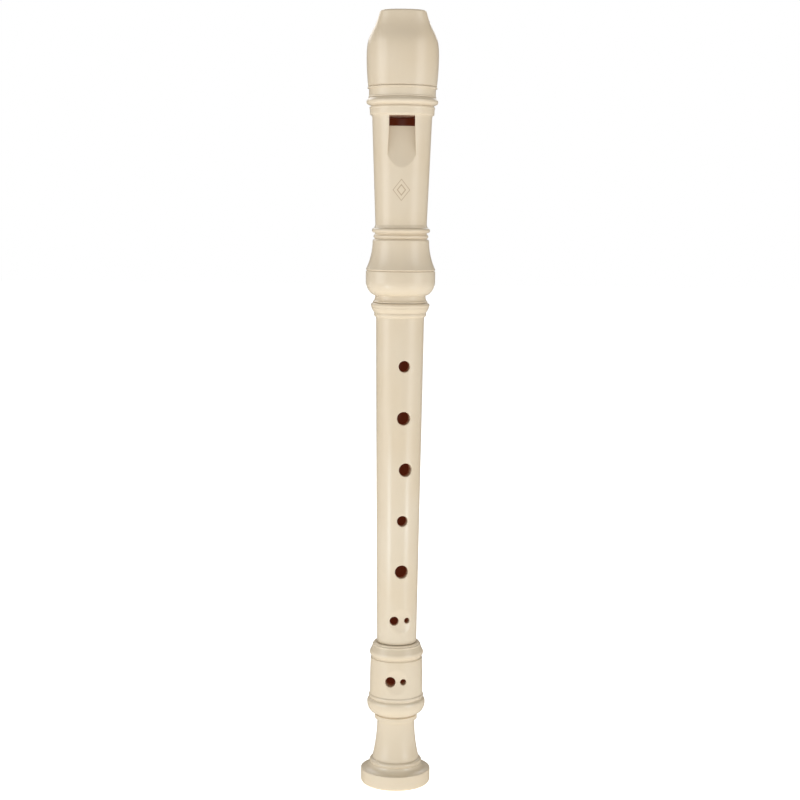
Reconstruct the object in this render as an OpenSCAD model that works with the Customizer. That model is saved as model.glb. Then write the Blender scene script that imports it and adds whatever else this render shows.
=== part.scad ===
// Soprano recorder in three joints, moulded in plastic.
// It stands on its foot: the origin is the centre of the foot's end face, +Z runs up the bore
// to the beak, and the window and the finger holes face -Y.

/* [Joint lengths] */
// Foot joint, from its end face to the top of its rim
foot_length = 62.2; // [58:0.1:76]
// Middle joint, from shoulder to shoulder
middle_length = 145.8; // [138:0.1:176]
// Head barrel, from its bottom rim to the seam with the beak
head_length = 85; // [82:0.1:104]
// Beak, from its seam to the tip
beak_length = 35.3; // [33:0.1:43]

/* [Outside diameters] */
// Foot at its bell
bell_d = 29.9; // [26:0.1:36]
// Foot at its straight barrel
foot_barrel_d = 22.7; // [21:0.1:27]
// Foot at its narrow neck
foot_neck_d = 16.1; // [14.5:0.1:18]
// Middle joint at its lower shoulder
middle_low_d = 17; // [16.6:0.1:20]
// Middle joint just below its top rings
middle_high_d = 20.3; // [19.6:0.1:23.6]
// Middle joint at its top ring
middle_ring_d = 24.8; // [23.8:0.1:29]
// Head at its bulb
bulb_d = 29.2; // [27.6:0.1:35]
// Head at the thin end of its cone
cone_low_d = 21.6; // [20.6:0.1:25]
// Head at the thick end of its cone, beside the window
cone_high_d = 25; // [24:0.1:27]
// Head at its largest bead, below the seam
head_bead_d = 30; // [28.6:0.1:36]
// Beak at its fullest place
beak_d = 30.1; // [29.2:0.1:36]

/* [Bore] */
// Bore of the head
head_bore_d = 13.6; // [12.6:0.1:14.4]
// Bore of the middle joint at its top
middle_bore_high_d = 12.6; // [11:0.1:13.2]
// Bore of the middle joint at its bottom
middle_bore_low_d = 9.8; // [8.4:0.1:10.6]
// Bore of the foot at its bell, straight, so that a stand's peg fits
foot_bore_d = 10.6; // [9:0.1:12.4]
// Length of that straight stretch
foot_bore_straight = 20; // [14:0.5:28]

/* [Tenons] */
// Upper tenon of the middle joint, diameter
upper_tenon_d = 17.8; // [16.4:0.1:18.4]
// Upper tenon of the middle joint, length
upper_tenon_length = 20; // [14:0.5:24]
// Lower tenon of the middle joint, diameter
lower_tenon_d = 14; // [13:0.1:16]
// Lower tenon of the middle joint, length
lower_tenon_length = 11.4; // [8:0.1:13.6]
// Clearance all round a tenon in its socket
tenon_clearance = 0.05; // [0.02:0.01:0.1]
// Gap between a shoulder and the rim that it comes up to
shoulder_gap = 0.1; // [0.05:0.05:0.3]
// Room past the end of a tenon
socket_end_gap = 0.3; // [0.2:0.1:1]

/* [Windway] */
// Width of the window and of the windway
window_w = 10.6; // [9:0.1:11.6]
// Height of the window, from the labium's edge to the block
window_h = 3.8; // [3:0.1:4.8]
// Rise of the window's top face, from the windway's roof out to the front
window_lift = 0.3; // [0:0.1:0.7]
// Length of the labium ramp
ramp_length = 17.4; // [14:0.1:21]
// Width of the ramp at its lower end
ramp_low_w = 12; // [11.7:0.1:14]
// Depth of the windway's floor line from the axis
windway_floor = 7; // [6.9:0.1:7.3]
// Height of the windway at the window
windway_h = 1.2; // [0.9:0.1:1.5]
// Height of the windway at the tip
windway_mouth_h = 1.7; // [1.2:0.1:1.9]
// Depth of the labium's edge from the axis
labium_edge = 7.5; // [7.4:0.1:8]
// Thickness of the labium at its edge
labium_t = 0.45; // [0.3:0.05:0.8]
// Glue gap round the block
glue_gap = 0.05; // [0.02:0.01:0.1]
// Length of the head's spigot inside the beak
spigot_length = 6; // [4:0.5:7]
// Diameter of that spigot
spigot_d = 23.4; // [22.6:0.1:25]
// Thickness of the block's tongue under the windway
tongue_t = 1.6; // [1.4:0.1:1.8]
// Closed end of the block's plug
plug_floor = 3; // [2:0.5:6]
// Wall of the block's plug
plug_wall = 1.8; // [1.4:0.1:2.4]

/* [Beak] */
// Width of the beak at its tip
tip_w = 19.2; // [17:0.1:22]
// Front of the tip, from the axis
tip_front = 11; // [10.6:0.1:12.4]
// Back of the tip, from the axis
tip_back = 3.8; // [3.4:0.1:4.1]
// Length of the narrowing front and cheeks, from the tip
taper_length = 18.5; // [16:0.5:22]
// Length of the hollow under the beak, from the tip
chin_length = 27; // [22:0.5:29]

/* [Finger holes] */
// Turn of the middle joint in its socket, from the window's line
middle_turn = 12.4; // [-20:0.1:20]
// Turn of the foot joint, from the window's line
foot_turn = 1.6; // [-20:0.1:20]
// Pitch from the first hole to the second, and so on to the fifth
hole_pitch = 21.9; // [20.5:0.1:23]
// Height of the fifth hole above the middle joint's lower shoulder
fifth_hole_rise = 31.9; // [30:0.1:40]
// Drop from the fifth hole to the double hole
double_hole_drop = 21.4; // [18:0.1:23]
// Diameters of the first five holes, from the top
single_hole_d = [4.8, 5.6, 5.6, 4.5, 5.6];
// Sideways turn of each of those holes from their line
single_hole_turn = [0, 0, 7, 0, 0];
// Larger and smaller hole of the sixth place
sixth_hole_d = [3.8, 2.4];
// Larger and smaller hole of the seventh place
seventh_hole_d = [4.4, 2.6];
// Height of the seventh holes above the foot's end face
seventh_hole_z = 46.8; // [44:0.1:49]
// Distance between the centres of a pair of holes, at the surface
pair_pitch = 5.5; // [5:0.1:6.6]
// Lean of each hole of a pair towards the other, inwards
pair_lean = 6; // [4:0.5:10]
// Thumb hole, on the back
thumb_hole_d = 5.2; // [4.4:0.1:6]
// Height of the thumb hole above the first hole
thumb_hole_rise = 9; // [6:0.1:12]
// Depth of the dish round a pair of holes
dish_depth = 0.7; // [0.3:0.1:0.9]
// Radius of the ball that cuts the dish
dish_r = 16; // [12:1:20]

/* [Hidden] */
$fn = 96;
ivory = [0.88, 0.82, 0.7];

// Places along the axis
middle_z = foot_length + shoulder_gap;
middle_top = middle_z + middle_length;
head_z = middle_top + shoulder_gap;
seam_z = head_z + head_length;
tip_z = seam_z + beak_length;
window_top = seam_z - 8;            // the window starts just below the ring under the largest bead
window_low = window_top - window_h;
ramp_low = window_low - ramp_length;
spigot_top = seam_z + spigot_length;
fifth_hole_z = middle_z + fifth_hole_rise;
sixth_hole_z = fifth_hole_z - double_hole_drop;
first_hole_z = fifth_hole_z + 4 * hole_pitch;
thumb_hole_z = first_hole_z + thumb_hole_rise;

// Radii
upper_socket_r = upper_tenon_d / 2 + tenon_clearance;
lower_socket_r = lower_tenon_d / 2 + tenon_clearance;
foot_bore_r = foot_bore_d / 2;
middle_low_r = middle_low_d / 2;
middle_high_r = middle_high_d / 2;
middle_ring_r = middle_ring_d / 2;
spigot_r = spigot_d / 2;
plug_r = head_bore_d / 2 - glue_gap;
socket_bottom = foot_length - lower_tenon_length - socket_end_gap;
socket_top = head_z + upper_tenon_length + socket_end_gap;
windway_roof = windway_floor + windway_h;
mouth_roof = windway_floor + windway_mouth_h;
tongue_back = windway_floor - tongue_t;
over = 1;                           // how far a cut runs past the face that it opens

// Points on an oval stretch of a turned outline, as [radius, height], from angle a to angle b
function bend(centre, rx, rz, a, b, n = 12) =
    [for (i = [0:n]) let (t = a + (b - a) * i / n) [centre[0] + rx * cos(t), centre[1] + rz * sin(t)]];

// A turned body: its outline is closed along the axis
module turned(outline) {
    rotate_extrude() polygon(concat([[0, outline[0][1]]], outline, [[0, outline[len(outline) - 1][1]]]));
}

// A hole drilled from the axis outwards, on the front after a turn about the axis
module finger_hole(z, turn, d, reach) {
    rotate([0, 0, turn]) translate([0, 0, z]) rotate([90, 0, 0]) cylinder(h = reach + over, d = d);
}

// Two holes side by side in a shallow dish, drilled so that they draw together inwards
module hole_pair(z, turn, sizes, r) {
    rotate([0, 0, turn]) {
        for (side = [0, 1]) {
            swing = side * 2 - 1;
            translate([swing * pair_pitch / 2, -r, z]) rotate([90, 0, swing * pair_lean])
                translate([0, 0, -r]) cylinder(h = r + over, d = sizes[side]);
        }
        translate([0, -(r + dish_r - dish_depth), z]) sphere(r = dish_r);
    }
}

// Foot joint

function foot_outline() =
    let (bell = bell_d / 2, neck = foot_neck_d / 2, barrel = foot_barrel_d / 2,
         bead_z = 9.7, bead_r = 1.15, bead_x = neck + 2.05,
         cove_top = 8.9, rim_top = 6.5, flare = 71, cove_w = bell - 0.05 - bead_x - bead_r + 0.1,
         ring_z = 28, bowl_low = 30.9, bowl_z = 35.8, bowl_r = barrel + 1.15,
         top = foot_length)
    concat(
        bend([bell - 1.6, 1.6], 1.6, 1.6, -90, 0, 8),
        bend([bell - 0.5, rim_top - 0.4], 0.5, 0.4, 0, 75, 4),
        bend([bell - 0.5, cove_top], cove_w - 0.4, cove_top - rim_top, 270, 180, 10),
        bend([bead_x, bead_z], bead_r, bead_r, -50, 100, 8),
        bend([neck + flare, ring_z], flare, flare, 193, 180, 14),
        [[neck + 0.9, ring_z + 0.25], [neck + 1.1, ring_z + 0.5], [neck + 1.1, ring_z + 2.1],
         [neck + 0.3, ring_z + 2.3], [neck + 0.3, ring_z + 2.75]],
        bend([bowl_r - 3.8, bowl_z], 3.8, bowl_z - bowl_low, -82, 0, 10),
        bend([bowl_r - 0.9, bowl_z], 0.9, 1.7, 0, 80, 6),
        [[barrel + 0.15, 37.7]],
        bend([barrel - 0.55, 38.75], 1, 1, -60, 60, 6),
        [[barrel, 39.9], [barrel, 48], [barrel - 0.25, top - 7],
         [barrel - 0.75, top - 6.75], [barrel - 0.72, top - 6.5]],
        bend([barrel - 1.25, top - 4.5], 1.4, 1.7, -60, 40, 8),
        [[barrel - 0.95, top - 1.7]],
        bend([barrel - 1.55, top - 1.2], 0.55, 0.55, -30, 80, 5),
        [[barrel - 1.5, top - 0.45], [barrel - 1.55, top - 0.2], [barrel - 1.8, top]]);

module foot_joint() color(ivory) difference() {
    turned(foot_outline());
    translate([0, 0, socket_bottom])
        cylinder(h = foot_length - socket_bottom + over, r = lower_socket_r);
    translate([0, 0, -over]) cylinder(h = foot_bore_straight + over, r = foot_bore_r);
    translate([0, 0, foot_bore_straight])
        cylinder(h = socket_bottom - foot_bore_straight, r1 = foot_bore_r, r2 = middle_bore_low_d / 2);
    hole_pair(seventh_hole_z, foot_turn, seventh_hole_d, foot_barrel_d / 2);
}

// Middle joint

function middle_outline() =
    let (top = middle_top, ring = middle_ring_r, tube = middle_high_r)
    concat(
        [[middle_low_r - 0.15, middle_z], [middle_low_r, middle_z + 0.15], [tube, top - 6.2],
         [tube + 0.2, top - 5.85]],
        bend([tube + 0.3, top - 4.9], 0.55, 0.85, -60, 30, 6),
        [[tube + 0.78, top - 4.35], [tube + 0.7, top - 4.25], [tube + 0.85, top - 4.05],
         [ring - 0.95, top - 3.4], [ring - 0.35, top - 2.4]],
        bend([ring - 0.8, top - 1], 0.8, 0.9, -50, 80, 8),
        [[ring - 0.65, top]]);

// Outside radius of the middle joint's tube at a height
function tube_r(z) =
    middle_low_r + (middle_high_r - middle_low_r) * (z - middle_z) / (middle_top - 6.2 - middle_z);

module middle_joint() color(ivory) difference() {
    union() {
        turned(middle_outline());
        translate([0, 0, middle_top - over])
            cylinder(h = upper_tenon_length + over, r = upper_tenon_d / 2);
        translate([0, 0, middle_z - lower_tenon_length])
            cylinder(h = lower_tenon_length + over, r = lower_tenon_d / 2);
    }
    middle_bore();
    for (i = [0:4])
        finger_hole(first_hole_z - i * hole_pitch, middle_turn + single_hole_turn[i],
                    single_hole_d[i], middle_high_r);
    hole_pair(sixth_hole_z, middle_turn, sixth_hole_d, tube_r(sixth_hole_z));
    finger_hole(thumb_hole_z, middle_turn + 180, thumb_hole_d, middle_high_r);
}

// The bore narrows from the upper tenon's end to the lower tenon's end
module middle_bore() {
    low = middle_z - lower_tenon_length;
    high = middle_top + upper_tenon_length;
    translate([0, 0, low])
        cylinder(h = high - low, r1 = middle_bore_low_d / 2, r2 = middle_bore_high_d / 2);
    translate([0, 0, low - over]) cylinder(h = over + 0.01, r = middle_bore_low_d / 2);
    translate([0, 0, high - 0.01]) cylinder(h = over, r = middle_bore_high_d / 2);
}

// Head

function head_outline() =
    let (z = head_z, bulb = bulb_d / 2, thin = cone_low_d / 2, thick = cone_high_d / 2,
         bead = head_bead_d / 2, waist = bulb - 3.95, flare_top = 26.1, flare_r = thin + 1.05,
         rise = flare_top - 13.9, out = bulb - flare_r, sweep = (rise * rise + out * out) / (2 * out))
    concat(
        [[waist + 0.75, z], [waist + 0.9, z + 0.15], [waist + 0.9, z + 0.5], [waist + 0.62, z + 0.65]],
        bend([waist + 0.75, z + 2.9], 0.75, 2.2, 250, 180, 8),
        bend([bulb - 4.9, z + 9.2], 4.9, 6.4, -80, 0, 12),
        [[bulb, z + 13.1], [bulb - 0.5, z + 13.2], [bulb, z + 13.8], [bulb, z + 13.9]],
        bend([flare_r + sweep, z + flare_top], sweep, sweep, 180 + asin(rise / sweep), 180, 12),
        [[flare_r - 0.25, z + 26.4], [thin + 0.1, z + 26.6]],
        bend([thin + 0.15, z + 27.7], 0.6, 0.65, -65, 65, 6),
        [[thin + 0.1, z + 28.7], [thin + 0.15, z + 29.2]],
        bend([thin + 0.35, z + 30.2], 1.05, 1, -60, 75, 8),
        [[thin + 0.36, z + 31.4], [thin + 0.36, z + 31.75], [thin + 0.2, z + 31.85],
         [thin + 0.2, z + 32.2], [thin, z + 32.35], [thin, z + 32.8],
         [thick, seam_z - 8.1], [thick + 0.2, seam_z - 7.3], [thick + 0.8, seam_z - 7],
         [thick + 0.95, seam_z - 6.6], [thick + 1, seam_z - 4.6], [thick + 1.18, seam_z - 4.45],
         [thick + 1.18, seam_z - 3.85], [thick + 0.65, seam_z - 3.55], [thick + 0.75, seam_z - 3.2]],
        bend([bead - 1, seam_z - 1.65], 1, 1.05, -60, 48, 8),
        [[bead - 0.75, seam_z - 0.25], [bead - 0.95, seam_z]]);

module head_barrel() color(ivory) difference() {
    union() {
        turned(head_outline());
        translate([0, 0, seam_z - over]) cylinder(h = spigot_length + over, r = spigot_r);
    }
    translate([0, 0, head_z - over])
        cylinder(h = socket_top - head_z + over, r = upper_socket_r);
    translate([0, 0, socket_top - 0.01])
        cylinder(h = spigot_top - socket_top + over, r = head_bore_d / 2);
    windway_slot();
    window();
    labium_ramp();
}

// Slot that the block's key slides down, with the windway's roof as its outer wall
module windway_slot() {
    translate([-window_w / 2, -windway_roof, window_top])
        cube([window_w, windway_roof, spigot_top - window_top + over]);
}

// Window, with a flat under the labium so that its edge is straight
module window() {
    translate([-window_w / 2, -cone_high_d / 2 - over, window_low])
        cube([window_w, cone_high_d / 2 + over, window_h]);
    translate([window_w / 2, 0, 0]) rotate([90, 0, -90]) linear_extrude(height = window_w)
        polygon([[windway_roof, window_top - over], [windway_roof, window_top],
                 [cone_high_d / 2, window_top + window_lift],
                 [cone_high_d / 2 + over, window_top + window_lift], [cone_high_d / 2 + over, window_top - over]]);
    translate([-window_w / 2, -(labium_edge - labium_t), window_low - 10])
        cube([window_w, labium_edge - labium_t, 10 + over]);
}

// Outside radius of the head's cone at a height
function cone_r(z) =
    let (low = head_z + 32.8, high = seam_z - 8.1)
    cone_low_d / 2 + (cone_high_d - cone_low_d) / 2 * (z - low) / (high - low);

// Ramp that steepens a little where it runs out at the cone's surface, between cheeks that spread downwards
module labium_ramp() {
    far = cone_high_d;
    fall = cone_r(ramp_low) - labium_edge;
    knee = 0.27 * ramp_length;
    run = 0.32 * fall / knee;
    intersection() {
        rotate([90, 0, 0]) linear_extrude(height = far)
            polygon([[-window_w / 2, window_top], [window_w / 2, window_top],
                     [window_w / 2, window_low], [ramp_low_w / 2, ramp_low],
                     [-ramp_low_w / 2, ramp_low], [-window_w / 2, window_low]]);
        rotate([90, 0, 90]) translate([0, 0, -far / 2]) linear_extrude(height = far)
            polygon([[-labium_edge, window_low], [-labium_edge - 0.68 * fall, ramp_low + knee],
                     [-cone_r(ramp_low) - run, ramp_low - 1], [-far, ramp_low - 1], [-far, window_low]]);
    }
}

module windway_block() color(ivory) difference() {
    union() {
        translate([0, 0, window_top]) cylinder(h = spigot_top - window_top, r = plug_r);
        translate([glue_gap - window_w / 2, -windway_floor, window_top])
            cube([window_w - 2 * glue_gap, windway_floor, spigot_top - window_top]);
        translate([glue_gap - window_w / 2, -windway_floor, spigot_top - over])
            cube([window_w - 2 * glue_gap, tongue_t, tip_z - spigot_top + over - 0.6]);
    }
    translate([0, 0, window_top + plug_floor]) intersection() {
        cylinder(h = spigot_top - window_top, r = plug_r - plug_wall);
        translate([-plug_r, plug_wall - windway_floor + tongue_t, 0])
            cube([2 * plug_r, 2 * plug_r, spigot_top - window_top]);
    }
}

// Beak

// Outline of the turned blank: a narrow band between fine rings, a groove, then a long swell
function beak_outline() =
    let (r = beak_d / 2, z = seam_z, full = 17.5)
    concat(
        [[r - 1.35, z], [r - 0.9, z + 0.12], [r - 0.9, z + 0.55], [r - 1.12, z + 0.68], [r - 1.1, z + 3.7],
         [r - 0.46, z + 3.85], [r - 0.44, z + 4.3], [r - 1.15, z + 4.42], [r - 1.15, z + 4.65]],
        bend([r - 113, z + full], 113, 113, -asin((full - 4.8) / 113), 0, 10),
        [[r, tip_z - taper_length + 2], [r - 0.3, tip_z - 10], [r - 1.7, tip_z]]);

// The same beak seen from the front: straight sides, then cheeks that draw in to the tip
module beak_front() {
    r = beak_d / 2 + over;
    w = tip_w / 2;
    l = taper_length;
    polygon(concat([[-r, seam_z - over], [r, seam_z - over], [r, tip_z - l]],
                   cheek(1), [[w - 0.9, tip_z]], [[0.9 - w, tip_z]],
                   [for (p = cheek(-1)) p], [[-r, tip_z - l]]));
}

// How far a cheek or the front has come out, from the tip's size to the full size: pairs of [share of
// the taper's length from the tip, share of the widening]; it is slow at the tip, then quick, then slow
cheek_steps = [[0, 0], [0.135, 0.13], [0.26, 0.28], [0.324, 0.37], [0.384, 0.48], [0.449, 0.6],
               [0.508, 0.7], [0.568, 0.79], [0.627, 0.865], [0.686, 0.92], [0.746, 0.953], [0.87, 0.99], [1, 1]];
front_steps = [[0, 0], [0.17, 0.11], [0.25, 0.2], [0.32, 0.3], [0.39, 0.42], [0.46, 0.55], [0.53, 0.68],
               [0.6, 0.79], [0.68, 0.88], [0.77, 0.945], [0.88, 0.985], [1, 1]];

// Points down one cheek, from the tip's width to the full width
function cheek(side) =
    let (r = beak_d / 2, w = tip_w / 2,
         half = [for (p = cheek_steps) [side * (w + (r - w) * p[1]), tip_z - max(0.9, taper_length * p[0])]])
    side < 0 ? half : [for (i = [len(half) - 1:-1:0]) half[i]];

// The beak seen from the side: the front slopes in, the chin is hollowed
module beak_side() {
    r = beak_d / 2 + over;
    n = 12;
    front = [for (i = [len(front_steps) - 1:-1:0]) let (p = front_steps[i])
        [-(tip_front + (beak_d / 2 - tip_front) * p[1]), tip_z - (taper_length + 1.5) * p[0]]];
    chin = [for (i = [0:n]) let (t = i / n)
        [-tip_back + (beak_d / 2 + tip_back) * pow(1 - cos(90 * t), 0.9), tip_z - chin_length * sin(90 * t)]];
    polygon(concat([[-r, seam_z - over], [-r, tip_z - taper_length - 1.5]], front, chin, [[r, tip_z - chin_length]],
                   [[r, seam_z - over]]));
}

module beak_cap() color(ivory) difference() {
    intersection() {
        turned(beak_outline());
        rotate([90, 0, 0]) translate([0, 0, -beak_d]) linear_extrude(height = 2 * beak_d) beak_front();
        rotate([90, 0, 90]) translate([0, 0, -beak_d]) linear_extrude(height = 2 * beak_d) beak_side();
    }
    translate([0, 0, seam_z - over]) cylinder(h = spigot_length + over, r = spigot_r + glue_gap);
    windway_passage();
}

// Windway and tongue slot through the beak, opening towards the tip
module windway_passage() {
    translate([window_w / 2, 0, 0]) rotate([90, 0, -90]) linear_extrude(height = window_w)
        polygon([[windway_roof, spigot_top - over], [windway_roof, spigot_top], [mouth_roof, tip_z],
                 [mouth_roof, tip_z + over], [tongue_back - glue_gap, tip_z + over],
                 [tongue_back - glue_gap, spigot_top - over]]);
}

beak_cap();
windway_block();
head_barrel();
middle_joint();
foot_joint();
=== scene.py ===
# Soprano recorder in ivory ABS: beak, head, middle joint and foot, each a surface worked out with numpy.
# Lengths are in millimetres until a mesh is made; the window and the finger holes face -Y.
import bpy
import math
import numpy as np
from mathutils import Matrix, Vector


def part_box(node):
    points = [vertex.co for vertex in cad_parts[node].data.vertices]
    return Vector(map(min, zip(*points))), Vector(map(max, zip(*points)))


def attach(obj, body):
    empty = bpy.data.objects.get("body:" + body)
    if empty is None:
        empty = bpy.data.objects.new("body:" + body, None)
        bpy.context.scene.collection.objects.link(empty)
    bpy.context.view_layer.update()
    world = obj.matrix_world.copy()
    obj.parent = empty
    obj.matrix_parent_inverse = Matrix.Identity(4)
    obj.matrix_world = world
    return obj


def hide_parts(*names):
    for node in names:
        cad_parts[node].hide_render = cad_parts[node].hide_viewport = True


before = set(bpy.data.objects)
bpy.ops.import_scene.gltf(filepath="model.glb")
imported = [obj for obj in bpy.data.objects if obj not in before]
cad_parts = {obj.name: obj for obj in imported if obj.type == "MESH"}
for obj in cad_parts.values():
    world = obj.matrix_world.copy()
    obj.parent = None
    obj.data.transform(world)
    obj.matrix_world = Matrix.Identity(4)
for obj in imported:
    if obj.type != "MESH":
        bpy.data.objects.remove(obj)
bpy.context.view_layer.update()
mm = 0.001
turns = 240          # columns round every joint, one for each 1.5 degrees


def nodeSpan(name):
    # lowest and highest corner of a CAD node, in millimetres
    low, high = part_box(name)
    return np.array(low) / mm, np.array(high) / mm


footHigh = nodeSpan("foot_joint")[1]
headLow = nodeSpan("head_barrel")[0]
beakLow, beakHigh = nodeSpan("beak_cap")
shoulderGap = 0.1    # between a shoulder and the rim that it comes up to
rimTop = footHigh[2]
middleFoot = rimTop + shoulderGap
headRim = headLow[2]
middleHead = headRim - shoulderGap
seam = beakLow[2]
tip = beakHigh[2]


# An outline is an array of points, each [radius, height].

def bend(cx, cz, rx, rz, a, b, n=10):
    # part of an oval from angle a to angle b in degrees: centre plus rx cos t across, rz sin t up
    t = np.radians(np.linspace(a, b, n + 1))
    return np.column_stack([cx + rx * np.cos(t), cz + rz * np.sin(t)])


def run(r0, z0, r1, z1, zs):
    # a straight stretch from [r0, z0] to [r1, z1] with a point at each height in zs
    zs = np.asarray(zs, float)
    return np.column_stack([r0 + (r1 - r0) * (zs - z0) / (z1 - z0), zs])


def outline(*parts):
    # joins points and stretches into one outline, and drops a point that repeats the one before it
    p = np.vstack([np.atleast_2d(np.asarray(q, float)) for q in parts])
    keep = np.r_[True, np.hypot(*np.diff(p, axis=0).T) > 1e-6]
    return p[keep]


def softened(p, size, steps=2, least=20):
    # rounds the corners of an outline sharper than `least` degrees: each one is replaced by a short
    # curve, a quadratic Bezier whose ends lie `size` from the corner, or a third of a side if that is less
    out = [p[:1]]
    for a, c, b in zip(p[:-2], p[1:-1], p[2:]):
        u, v = a - c, b - c
        lu, lv = np.hypot(*u), np.hypot(*v)
        bendBy = 180 - math.degrees(math.acos(np.clip(np.dot(u, v) / lu / lv, -1, 1)))
        if bendBy < least:
            out.append(c[None])
            continue
        s, e = c + u / lu * min(size, lu / 3), c + v / lv * min(size, lv / 3)
        t = np.linspace(0, 1, steps + 2)[:, None]
        out.append((1 - t) ** 2 * s + 2 * t * (1 - t) * c + t ** 2 * e)
    out.append(p[-1:])
    return np.vstack(out)


def eased(x, xs, ys):
    # a smooth curve that passes each given point and doesn't overshoot them: a cubic between each two, with
    # slopes that are the harmonic mean of the neighbouring straight slopes, and flat at the last point
    xs, ys = np.asarray(xs, float), np.asarray(ys, float)
    h = np.diff(xs)
    d = np.diff(ys) / h
    m = np.zeros(len(xs))
    m[0] = d[0]
    total = np.where(d[1:] + d[:-1] == 0, 1, d[1:] + d[:-1])
    m[1:-1] = np.where(d[1:] * d[:-1] > 0, 2 * d[1:] * d[:-1] / total, 0)
    k = np.clip(np.searchsorted(xs, x) - 1, 0, len(xs) - 2)
    t = (np.clip(x, xs[0], xs[-1]) - xs[k]) / h[k]
    return ((1 + 2 * t) * (1 - t) ** 2 * ys[k] + t * (1 - t) ** 2 * h[k] * m[k]
            + t * t * (3 - 2 * t) * ys[k + 1] + t * t * (t - 1) * h[k] * m[k + 1])


def gridQuads(rows, cols, skip=None):
    # quads of a grid that closes on itself both ways; skip is True where a cell is left out
    i, j = np.meshgrid(np.arange(rows), np.arange(cols), indexing="ij")
    i2, j2 = (i + 1) % rows, (j + 1) % cols
    q = np.stack([i * cols + j, i * cols + j2, i2 * cols + j2, i2 * cols + j], -1)
    return q.reshape(-1, 4) if skip is None else q[~skip]


def loopQuads(first, second):
    # quads between two closed loops of vertex numbers, walked the same way
    a, b = np.asarray(first), np.asarray(second)
    return np.column_stack([a, np.roll(a, -1), np.roll(b, -1), b])


def makeMesh(name, points, quads, paintedShade, creaseAngle=50):
    # numpy arrays into a smooth mesh, in metres; loose points are dropped. The shade attribute given here is
    # 0 on the outside and rises to 1 in the bore; the material paints shade from it, darker down the holes
    # and the bore.
    used = np.unique(quads)
    number = np.full(len(points), -1)
    number[used] = np.arange(len(used))
    points, quads, paintedShade = np.asarray(points)[used] * mm, number[quads], np.asarray(paintedShade)[used]
    mesh = bpy.data.meshes.new(name)
    mesh.vertices.add(len(points))
    mesh.vertices.foreach_set("co", points.astype(np.float32).ravel())
    mesh.loops.add(quads.size)
    mesh.loops.foreach_set("vertex_index", quads.astype(np.int32).ravel())
    mesh.polygons.add(len(quads))
    mesh.polygons.foreach_set("loop_start", np.arange(0, quads.size, 4, dtype=np.int32))
    mesh.update(calc_edges=True)
    mesh.attributes.new("paintedShade", "FLOAT", "POINT").data.foreach_set("value", paintedShade.astype(np.float32))
    mesh.polygons.foreach_set("use_smooth", np.ones(len(mesh.polygons), bool))
    mesh.set_sharp_from_angle(angle=math.radians(creaseAngle))
    piece = bpy.data.objects.new(name, mesh)
    bpy.context.scene.collection.objects.link(piece)
    print("made", name, len(mesh.vertices), "points,", len(mesh.polygons), "faces")
    return piece


def around(radius, angle, z):
    # a point at an angle from the front (-Y) towards +X
    radius, angle, z = np.broadcast_arrays(radius, angle, z)
    return np.stack([radius * np.sin(angle), -radius * np.cos(angle), z], -1)


def spanColumns(centre, half):
    # first and last column that enclose an angle to each side of a centre, in radians
    step = 2 * math.pi / turns
    return int(math.floor((centre - half) / step)), int(math.ceil((centre + half) / step))


def rimLoop(rows, cols):
    # vertex numbers round a block of a grid, anticlockwise as seen from outside, rows going up
    (r0, r1), (c0, c1) = rows, cols
    step = 1 if r1 >= r0 else -1
    up = np.arange(r0, r1, step)
    down = np.arange(r1, r0, -step)
    along = np.arange(c0, c1)
    back = np.arange(c1, c0, -1)
    r = np.r_[np.full(len(along), r0), up, np.full(len(back), r1), down]
    c = np.r_[along, np.full(len(up), c1), back, np.full(len(down), c0)]
    return r, c


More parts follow.
